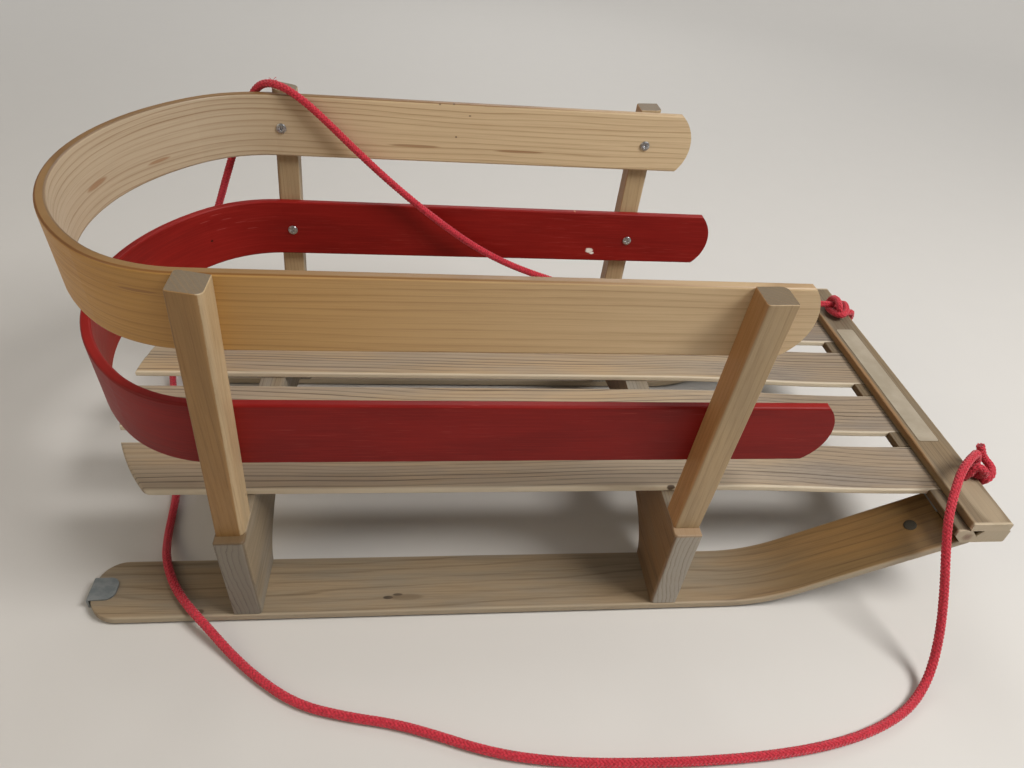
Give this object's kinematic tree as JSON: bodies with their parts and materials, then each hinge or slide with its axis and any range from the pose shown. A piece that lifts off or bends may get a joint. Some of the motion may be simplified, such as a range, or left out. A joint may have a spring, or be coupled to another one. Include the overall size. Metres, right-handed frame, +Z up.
{
  "type": "child's wooden pull sleigh",
  "caption": "Bentwood pull sleigh for a small child: steel-shod skis, arched bolsters, slatted deck, splayed posts with wrap-round rails, front bars and a braided pull rope.",
  "frame": {"origin": "on the floor under the middle of the sleigh without its rope: half way from the heel to the nose bar's front, in the centre plane", "axes": "+X forward to the nose bar, +Y to the sleigh's left, +Z up"},
  "size_m": [0.7369, 0.4671, 0.3091],
  "materials": {
    "grey_wood": "weathered, matt, open grain",
    "post_wood": "aged varnish, satin, straight grain",
    "slat_wood": "weathered, matt, dark grain",
    "pale_wood": "clear varnish, satin, straight grain",
    "red_paint": "dark red gloss paint, scuffed",
    "runner_steel": "galvanised strip, dull",
    "red_rope": "braided polypropylene, slightly shiny"
  },
  "bodies": {
    "root": {"ski_right": "grey_wood", "ski_left": "grey_wood", "runner_right": "runner_steel", "runner_left": "runner_steel", "bolster_rear": "grey_wood", "bolster_front": "grey_wood", "post_rear_right": "post_wood", "post_rear_left": "post_wood", "post_front_right": "post_wood", "post_front_left": "post_wood", "rail_upper": "pale_wood", "rail_lower": "red_paint", "slat_1": "slat_wood", "slat_2": "slat_wood", "slat_3": "slat_wood", "slat_4": "slat_wood", "nose_bar": "grey_wood", "tow_bar": "post_wood", "rope": "red_rope", "knot_right": "red_rope", "knot_left": "red_rope"}
  },
  "joints": []
}
